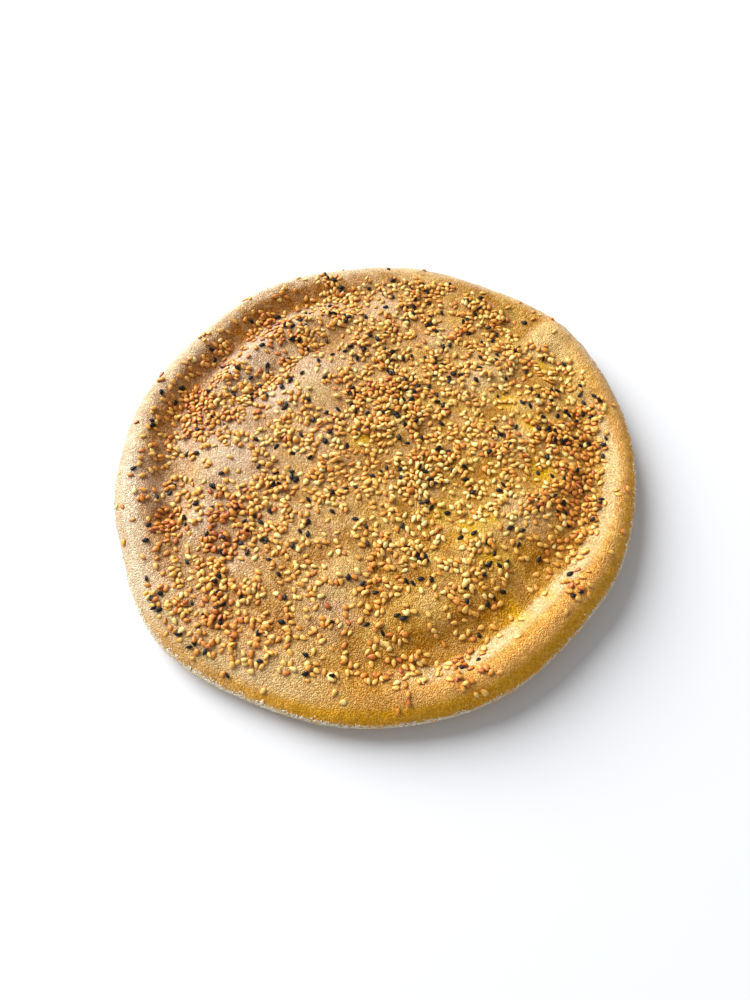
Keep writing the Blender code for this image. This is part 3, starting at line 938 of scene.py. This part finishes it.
def make_topping(crust):
    """The sesame in a paler and a darker half, and the nigella."""
    sesame, nigella, bed = lay_topping()
    x, y, _ = read_vectors(crust.data, "co").T
    # How closely seeds cover the crust nearby, for the painted shade and brown stain between them
    store(crust.data, shaded=bed.near_seeds()[bed.cells(x, y)])
    draw = random.Random(SHAPE_DRAW)
    tones = sesame_tones(draw, sesame)
    shapes = seed_shapes(draw, SESAME_TAPER, sesame_section)
    order = sorted(range(len(sesame)), key=lambda number: tones[number])
    middle = len(order) // 2
    pieces = []
    for name, chosen in (("sesame_golden", order[:middle]), ("sesame_toasted", order[middle:])):
        seeds = [sesame[number] for number in chosen]
        mesh = joined_seeds(name, seeds, shapes, draw, [tones[number] for number in chosen])
        pieces.append(place_object(name, mesh, sesame_material(name)))
    shapes = seed_shapes(draw, NIGELLA_TAPER, nigella_section)
    mesh = joined_seeds("nigella", nigella, shapes, draw, [draw.random() for _ in nigella])
    pieces.append(place_object("nigella", mesh, nigella_material()))
    return pieces


# --- bran ---


def grain_shape(draw):
    """A small uneven flake."""
    shape = bmesh.new()
    bmesh.ops.create_icosphere(shape, subdivisions=1, radius=1.0)
    for vertex in shape.verts:
        vertex.co = vertex.co * draw.uniform(*FLAKE_REACH)
        vertex.co.z *= FLAKE_FLATNESS
    points = np.array([vertex.co[:] for vertex in shape.verts])
    faces = [tuple(vertex.index for vertex in face.verts) for face in shape.faces]
    shape.free()
    return points, faces


def make_bran():
    """Flakes of bran along the upper edge of the flour on the side."""
    draw = random.Random(BRAN_DRAW)
    shapes = [grain_shape(draw) for _ in range(SHAPES_PER_KIND)]
    parts = []
    while len(parts) < BRAN_GRAINS:
        angle = draw.uniform(0.0, 2.0 * math.pi)
        if draw.random() > STRAY_BRAN + arcs_at(angle, BRANNY):
            continue
        turn = float(flour_line(angle)) + draw.gauss(*BRAN_SPREAD)
        if turn > 0.0:
            place = shoulder_points(angle, math.pi / 2.0 - turn)
        else:
            place = underside_points(angle, -turn)
        size = draw.uniform(*BRAN_SIZE)
        shape, faces = shapes[draw.randrange(len(shapes))]
        heading = Matrix.Rotation(draw.uniform(0.0, FLAKE_TURN), 3, "Z")
        lean = Matrix.Rotation(draw.uniform(0.0, FLAKE_TURN), 3, "X")
        parts.append((shape @ np.array(heading @ lean).T * size + place, faces))
    return place_object("bran", join("bran", parts), bran_material())


# --- materials ---


class Shader:
    """A material's nodes, made one call at a time."""

    def __init__(self, name):
        self.material = bpy.data.materials.new(name)
        self.material.use_nodes = True
        self.tree = self.material.node_tree
        self.surface = self.tree.nodes["Principled BSDF"]

    def add(self, kind, inputs=(), **settings):
        """Adds a node. inputs pairs a socket's name or number with a value or another node's output."""
        made = self.tree.nodes.new("ShaderNode" + kind)
        for key, value in settings.items():
            setattr(made, key, value)
        for socket, value in dict(inputs).items():
            self.feed(made.inputs[socket], value)
        return made

    def feed(self, socket, value):
        if isinstance(value, bpy.types.NodeSocket):
            self.tree.links.new(value, socket)
        else:
            socket.default_value = value

    def set(self, **values):
        """Sets or links the surface's own sockets. An underscore in a name stands for a space."""
        for name, value in values.items():
            self.feed(self.surface.inputs[name.replace("_", " ")], value)

    def attribute(self, name):
        return self.add("Attribute", attribute_name=name).outputs["Fac"]

    def place(self):
        return self.add("TexCoord").outputs["Object"]

    def noise(self, size, detail, roughness, place=None):
        """Cloudy pattern whose features are about size metres across, as a value round 0.5."""
        inputs = {"Scale": 1.0 / size, "Detail": detail, "Roughness": roughness}
        inputs["Vector"] = place or self.place()
        return self.add("TexNoise", inputs).outputs["Fac"]

    def pattern(self, size, low, high, most, place=None):
        """Clouds about size metres across: nothing where the noise is low, most where it is high."""
        return self.fit(self.noise(size, *CLOUDY, place), low, high, 0.0, most)

    def grains(self, size):
        """Rounded grains about size metres across: their height and two random values for each."""
        made = self.add("TexVoronoi", {"Vector": self.place(), "Scale": 1.0 / size})
        own = self.add("SeparateColor", {0: made.outputs["Color"]})
        height = self.fit(made.outputs["Distance"], 0.0, GRAIN_EDGE, 1.0, 0.0)
        return height, own.outputs[0], own.outputs[1]

    def fit(self, value, low, high, to_low=0.0, to_high=1.0):
        """The value carried over from one range to another, and held at its ends."""
        inputs = {0: value, 1: low, 2: high, 3: to_low, 4: to_high}
        return self.add("MapRange", inputs, clamp=True).outputs[0]

    def math(self, operation, first, second):
        return self.add("Math", {0: first, 1: second}, operation=operation).outputs[0]

    def times(self, first, second):
        return self.math("MULTIPLY", first, second)

    def plus(self, first, second):
        return self.math("ADD", first, second)

    def weighted(self, shares, first, second):
        return self.plus(self.times(first, shares[0]), self.times(second, shares[1]))

    def greatest(self, first, *others):
        for other in others:
            first = self.math("MAXIMUM", first, other)
        return first

    def mix(self, share, first, second, blend="MIX"):
        """Mixes two colours."""
        made = self.add("Mix", data_type="RGBA", blend_type=blend)
        self.feed(made.inputs[0], share)
        self.feed(made.inputs[6], first)
        self.feed(made.inputs[7], second)
        return made.outputs[2]

    def ramp(self, value, stops):
        made = self.add("ValToRGB", {0: value})
        points = made.color_ramp.elements
        while len(points) < len(stops):
            points.new(0.5)
        for point, (place, colour) in zip(points, stops):
            point.position = place
            point.color = colour
        return made.outputs[0]

    def bump(self, height, distance, strength=1.0):
        inputs = {"Height": height, "Distance": distance, "Strength": strength}
        return self.add("Bump", inputs).outputs["Normal"]


def crust_material():
    """Golden-tan crust, finely grained, with pink, brown, ochre, oily, pale and floury parts, painted light
    on lit crests, the rim and glints, and painted shade in hollows, along the furrow and between seeds.
    """
    shader = Shader("crust")
    fine, fine_own, fine_other = shader.grains(FINE_GRAIN)
    coarse, coarse_own, _ = shader.grains(COARSE_GRAIN)
    cloud = shader.pattern(*CLOUDS)
    blotch = shader.pattern(*BLOTCHES)
    mask, fit, mix, times = shader.attribute, shader.fit, shader.mix, shader.times
    yellower = mask("yellower")

    colour = mix(yellower, mix(cloud, *LEFT_CRUST), mix(cloud, *RIGHT_CRUST))
    colour = mix(shader.pattern(*PINK_CLOUDS), colour, PINK_CRUST)
    moved = shader.add("VectorMath", {0: shader.place(), 1: OTHER_PART}).outputs[0]
    colour = mix(shader.pattern(*GOLD_CLOUDS, moved), colour, GOLD_CRUST)
    for name, least, tone in MASK_TONES:
        share = times(mask(name), fit(blotch, 0.0, 1.0, least, 1.0))
        colour = mix(share, colour, tone)
    # painted shade in hollows and shaded places
    colour = mix(mask("deep"), colour, DEEP_TINT, blend="MULTIPLY")
    # painted shade and brown stain between the seeds
    colour = mix(fit(mask("shaded"), *STAINED), colour, STAIN)
    dusted = times(mask("floury"), fit(fine_other, *DUSTED))
    colour = mix(dusted, colour, FLOUR)

    height = shader.weighted(GRAIN_HEIGHTS, fine, coarse)
    lit = times(mask("lit"), LIT_SMOOTH)
    smooth = shader.greatest(mask("side"), mask("oily"), mask("tan"), lit)
    # the painted highlight on the creamy rim smooths the grain away
    smooth = shader.greatest(mask("cream"), times(smooth, MASKS_SMOOTH))
    grained = fit(smooth, *GRAINED)
    own = shader.weighted(GRAIN_TONES, fine_own, coarse_own)
    # darker grains and painted shade in the grains' hollows
    dark = shader.greatest(fit(height, *HOLLOWS_DARK), fit(own, *GRAINS_DARK))
    colour = mix(times(grained, dark), colour, DARK_GRAIN, blend="MULTIPLY")
    light = times(grained, fit(own, *GRAINS_LIGHT))
    colour = mix(light, colour, LIGHT_GRAIN, blend="MULTIPLY")
    # painted glint on the lightest grains
    colour = mix(times(light, GLITTER_SHARE), colour, GLITTER)

    dull = shader.greatest(mask("side"), mask("ochre"), mask("browned"))
    wet = times(mask("oily"), OIL_WET)
    shader.set(
        Base_Color=colour,
        Roughness=shader.math("SUBTRACT", fit(coarse_own, *CRUST_ROUGHNESS), wet),
        Normal=shader.bump(height, GRAIN_BUMP),
        Specular_IOR_Level=fit(dull, *CRUST_SHEEN),
        Specular_Tint=mix(yellower, *SHEEN_TINTS),
    )
    return shader.material


def sesame_material(name):
    """Glossy toasted sesame: darker towards the tip, painted lighter on top and painted shade below, and
    each seed in its own tone.
    """
    shader = Shader(name)
    mottled = shader.fit(shader.noise(0.0009, *PLAIN_NOISE), *SESAME_MOTTLED)
    tipped = shader.fit(shader.attribute("along"), *SESAME_TIPPED)
    # painted light on top of each seed and painted shade below
    beneath = shader.fit(shader.attribute("beneath"), *SESAME_BENEATH)
    tone = shader.plus(shader.plus(shader.attribute("tone"), mottled), shader.plus(tipped, beneath))
    shader.set(
        Base_Color=shader.ramp(tone, SESAME_COLOURS),
        Roughness=0.40,
        Normal=shader.bump(shader.noise(0.0005, *PLAIN_NOISE), 0.00006, 0.6),
        Specular_IOR_Level=0.62,
        Subsurface_Weight=0.30,
        Subsurface_Radius=SESAME_GLOW,
        Subsurface_Scale=GLOW_DEPTH,
    )
    return shader.material


def nigella_material():
    """Black nigella: finely wrinkled, with a faint sheen."""
    shader = Shader("nigella")
    wrinkles = shader.noise(0.00035, *CLOUDY)
    shader.set(
        Base_Color=shader.mix(shader.fit(wrinkles, 0.35, 0.70), *NIGELLA_COLOURS),
        Roughness=0.5,
        Normal=shader.bump(wrinkles, 0.00010, 0.8),
        Specular_IOR_Level=0.3,
    )
    return shader.material


def bran_material():
    """Pale bran and flour."""
    shader = Shader("bran")
    mottled = shader.fit(shader.noise(0.002, *BRAN_NOISE), 0.35, 0.65)
    shader.set(Base_Color=shader.mix(mottled, *BRAN_COLOURS), Roughness=0.85, Specular_IOR_Level=0.2)
    return shader.material


def floor_material():
    shader = Shader("floor")
    shader.set(Base_Color=FLOOR_COLOUR, Roughness=0.9, Specular_IOR_Level=0.1)
    return shader.material


# --- studio ---


def place_object(name, data, material=None):
    """Puts a mesh, a lamp or a camera in the scene."""
    if material:
        data.materials.append(material)
    made = bpy.data.objects.new(name, data)
    bpy.context.scene.collection.objects.link(made)
    return made


def aim(thing, place, target):
    thing.location = place
    thing.rotation_euler = (Vector(place) - Vector(target)).to_track_quat("Z", "Y").to_euler()


def make_floor():
    corners = np.array([(-1.0, -1.0, 0.0), (1.0, -1.0, 0.0), (1.0, 1.0, 0.0), (-1.0, 1.0, 0.0)])
    mesh = make_mesh("floor", FLOOR_HALF * corners, [(0, 1, 2, 3)])
    mesh.materials.append(floor_material())
    place_object("floor", mesh)


def make_lights():
    """A large soft light, low from the left and behind, and an even pale surrounding."""
    lamp = bpy.data.lights.new("key", "AREA")
    lamp.shape = "DISK"
    lamp.size = KEY_SIZE
    lamp.energy = KEY_POWER
    key = place_object("key", lamp)
    height = math.radians(KEY_HEIGHT)
    away = KEY_REACH * math.cos(height)
    place = on_circle(math.radians(KEY_AZIMUTH), away, KEY_REACH * math.sin(height))
    aim(key, place, (0.0, 0.0, 0.0))
    world = bpy.data.worlds.new("studio")
    world.use_nodes = True
    background = world.node_tree.nodes["Background"]
    background.inputs["Color"].default_value = FILL_COLOUR
    background.inputs["Strength"].default_value = FILL_STRENGTH
    bpy.context.scene.world = world
    bpy.context.scene.view_settings.view_transform = "Standard"


def make_camera(shift):
    """The phone's place over the bread."""
    lens = bpy.data.cameras.new("camera")
    lens.lens = CAMERA_LENS
    lens.sensor_width = CAMERA_SENSOR
    lens.clip_start = CLIP_START
    camera = place_object("camera", lens)
    tilt = math.radians(CAMERA_TILT)
    target = Vector(CAMERA_TARGET) + shift
    back = Vector((0.0, -math.cos(tilt), math.sin(tilt)))
    aim(camera, target + back * CAMERA_DISTANCE, target)
    bpy.context.scene.camera = camera


def box_shift(mesh):
    """Sideways move that centres the loaf's box on the origin, as the solid's is."""
    places = read_vectors(mesh, "co")
    middle = (places.min(axis=0) + places.max(axis=0)) / 2.0
    return Vector((-middle[0], -middle[1], 0.0))


def main():
    crust = make_loaf()
    seeds = make_topping(crust)
    bran = make_bran()
    shift = box_shift(crust.data)
    for piece in (crust, *seeds, bran):
        piece.data.transform(Matrix.Translation(shift))
    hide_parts("pide")
    for piece, slot in ((crust, "crust"), (seeds[0], "sesame"), (seeds[1], "sesame"), (seeds[2], "nigella")):
        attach(piece, "root")
    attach(bran, "root")
    make_floor()
    make_lights()
    make_camera(shift)


main()
